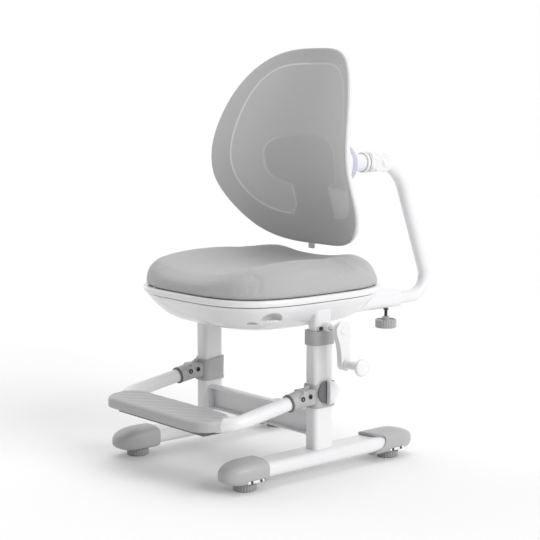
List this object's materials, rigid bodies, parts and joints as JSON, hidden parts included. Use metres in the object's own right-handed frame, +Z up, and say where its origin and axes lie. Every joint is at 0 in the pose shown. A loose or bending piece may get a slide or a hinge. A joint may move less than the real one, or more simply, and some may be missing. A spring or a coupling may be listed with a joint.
{
  "type": "height-adjustable study chair",
  "caption": "Children's study chair with crank-lifted seat, sliding footrest and tilting mesh backrest on a bent tube.",
  "frame": {"origin": "on the floor, midway between the four levelling feet", "axes": "+Z up, the sitter faces -Y, +X towards the sitter's left, where the crank is"},
  "size_m": [0.4448, 0.6983, 0.745],
  "materials": {
    "white_paint": "satin",
    "white_plastic": "gloss",
    "grey_plastic": "satin",
    "dark_plastic": "matte",
    "bare_steel": "satin",
    "chrome_steel": "polished",
    "brass": "satin",
    "black_screw": "satin",
    "seat_fabric": "woven",
    "mesh_fabric": "mesh",
    "board": "matte",
    "tinted_flex": "gloss",
    "rubber_grey": "matte"
  },
  "bodies": {
    "base": {"runner_left": "white_paint", "runner_right": "white_paint", "front_cap_left": "grey_plastic", "front_cap_right": "grey_plastic", "rear_cap_left": "grey_plastic", "rear_cap_right": "grey_plastic", "cap_screws": "black_screw", "foot_nuts": "bare_steel", "outer_column_left": "white_paint", "outer_column_right": "white_paint", "collar_left": "grey_plastic", "collar_right": "grey_plastic", "crossbar": "white_paint", "crossbar_rivets": "bare_steel", "screw_post": "bare_steel", "lead_nut": "brass"},
    "seat_lift": {"inner_column_left": "white_paint", "inner_column_right": "white_paint", "column_glides": "grey_plastic", "seat_beam": "bare_steel", "seat_board": "board", "seat_shell": "white_plastic", "seat_cushion": "seat_fabric", "seat_bolts": "black_screw", "back_receiver": "white_plastic", "gear_housing": "bare_steel", "shaft_flange": "white_plastic", "flange_screws": "black_screw"},
    "lifting_screw": {"lead_screw": "bare_steel", "screw_bevel_gear": "brass"},
    "crank": {"drive_shaft": "chrome_steel", "shaft_bevel_gear": "brass", "crank_arm": "white_plastic", "grip_spindle": "bare_steel"},
    "grip": {"crank_grip": "white_plastic"},
    "footrest": {"clamp_sleeve_left": "grey_plastic", "clamp_sleeve_right": "grey_plastic", "arm_socket_left": "grey_plastic", "arm_socket_right": "grey_plastic", "socket_screws": "black_screw", "footrest_tube": "white_paint", "pad_bracket": "dark_plastic", "footrest_pad": "grey_plastic"},
    "knob_left": {"clamp_knob_left": "white_plastic"},
    "knob_right": {"clamp_knob_right": "white_plastic"},
    "back_slide": {"back_tube": "white_paint"},
    "slide_lock": {"depth_knob": "grey_plastic"},
    "neck": {"neck": "white_plastic", "tilt_pin": "bare_steel"},
    "ring": {"neck_ring": "white_plastic"},
    "backrest": {"back_hub": "white_plastic", "flex_disc": "tinted_flex", "back_frame": "white_plastic", "back_mesh": "mesh_fabric", "frame_screws": "black_screw"},
    "foot_front_left": {"foot_front_left": "rubber_grey"},
    "foot_front_right": {"foot_front_right": "rubber_grey"},
    "foot_rear_left": {"foot_rear_left": "rubber_grey"},
    "foot_rear_right": {"foot_rear_right": "rubber_grey"}
  },
  "joints": [
    {"name": "seat_height", "type": "slide", "parent": "base", "child": "seat_lift", "axis": [0, 0, 1], "range_m": [0, 0.12]},
    {"name": "screw_turn", "type": "hinge", "parent": "seat_lift", "child": "lifting_screw", "pos_m": [0.155, 0, 0.25], "axis": [0, 0, 1], "range_deg": [0, 3600]},
    {"name": "crank_turn", "type": "hinge", "parent": "seat_lift", "child": "crank", "pos_m": [0.17, 0, 0.262], "axis": [1, 0, 0], "range_deg": [0, 3600]},
    {"name": "grip_spin", "type": "hinge", "parent": "crank", "child": "grip", "pos_m": [0.222, 0.007, 0.202], "axis": [1, 0, 0], "continuous": true},
    {"name": "footrest_height", "type": "slide", "parent": "base", "child": "footrest", "axis": [0, 0, 1], "range_m": [-0.008, 0.06]},
    {"name": "clamp_left", "type": "hinge", "parent": "footrest", "child": "knob_left", "pos_m": [0.18, 0, 0.148], "axis": [1, 0, 0], "range_deg": [0, 360]},
    {"name": "clamp_right", "type": "hinge", "parent": "footrest", "child": "knob_right", "pos_m": [-0.18, 0, 0.148], "axis": [-1, 0, 0], "range_deg": [0, 360]},
    {"name": "back_depth", "type": "slide", "parent": "seat_lift", "child": "back_slide", "axis": [0, 1, 0], "range_m": [-0.025, 0.05]},
    {"name": "lock_turn", "type": "hinge", "parent": "seat_lift", "child": "slide_lock", "pos_m": [0, 0.321, 0.21], "axis": [0, 0, 1], "range_deg": [0, 720]},
    {"name": "back_tilt", "type": "hinge", "parent": "back_slide", "child": "neck", "pos_m": [0, 0.296, 0.53], "axis": [1, 0, 0], "range_deg": [-12, 6]},
    {"name": "ring_lock", "type": "hinge", "parent": "neck", "child": "ring", "pos_m": [0, 0.256, 0.531], "axis": [0, 1, 0], "range_deg": [0, 90]},
    {"name": "back_flex", "type": "hinge", "parent": "neck", "child": "backrest", "pos_m": [0, 0.226, 0.531], "axis": [0, 0, 1], "range_deg": [-6, 6], "stiffness_Nm_per_rad": 20},
    {"name": "level_front_left", "type": "hinge", "parent": "base", "child": "foot_front_left", "pos_m": [0.155, -0.171, 0.01], "axis": [0, 0, 1], "continuous": true},
    {"name": "level_front_right", "type": "hinge", "parent": "base", "child": "foot_front_right", "pos_m": [-0.155, -0.171, 0.01], "axis": [0, 0, 1], "continuous": true},
    {"name": "level_rear_left", "type": "hinge", "parent": "base", "child": "foot_rear_left", "pos_m": [0.155, 0.171, 0.01], "axis": [0, 0, 1], "continuous": true},
    {"name": "level_rear_right", "type": "hinge", "parent": "base", "child": "foot_rear_right", "pos_m": [-0.155, 0.171, 0.01], "axis": [0, 0, 1], "continuous": true}
  ],
  "couplings": [
    {"joint": "screw_turn", "follows": "seat_height", "rad_per_m": 523.6},
    {"joint": "crank_turn", "follows": "seat_height", "rad_per_m": 523.6}
  ]
}
